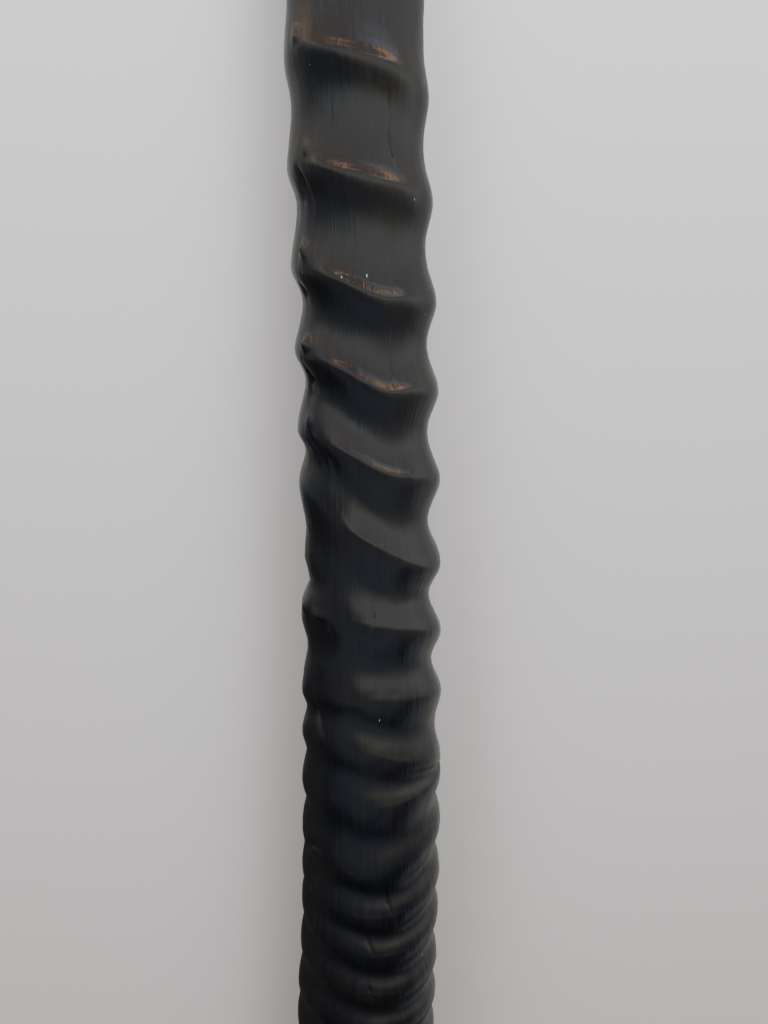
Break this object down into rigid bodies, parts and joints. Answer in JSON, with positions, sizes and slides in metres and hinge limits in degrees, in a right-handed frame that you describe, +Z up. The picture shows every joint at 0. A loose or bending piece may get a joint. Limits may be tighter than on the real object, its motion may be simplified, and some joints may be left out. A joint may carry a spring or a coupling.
{
  "type": "antelope horn",
  "caption": "Long straight gemsbok horn: a hollow dark keratin sheath, ringed over its lower half and tapering smoothly to a point, lying on its side.",
  "frame": {"origin": "middle of the footprint, on the surface that the horn lies on", "axes": "+Y along the horn towards its tip, +Z up through the ringed face that is seen from above, +X to the right as seen from above with the tip away"},
  "size_m": [0.0786, 0.94, 0.0542],
  "materials": {
    "keratin": "near-black brown horn keratin, handled to a soft semi-gloss, with fine lengthwise fibres"
  },
  "bodies": {
    "root": {"horn": "keratin"}
  },
  "joints": []
}
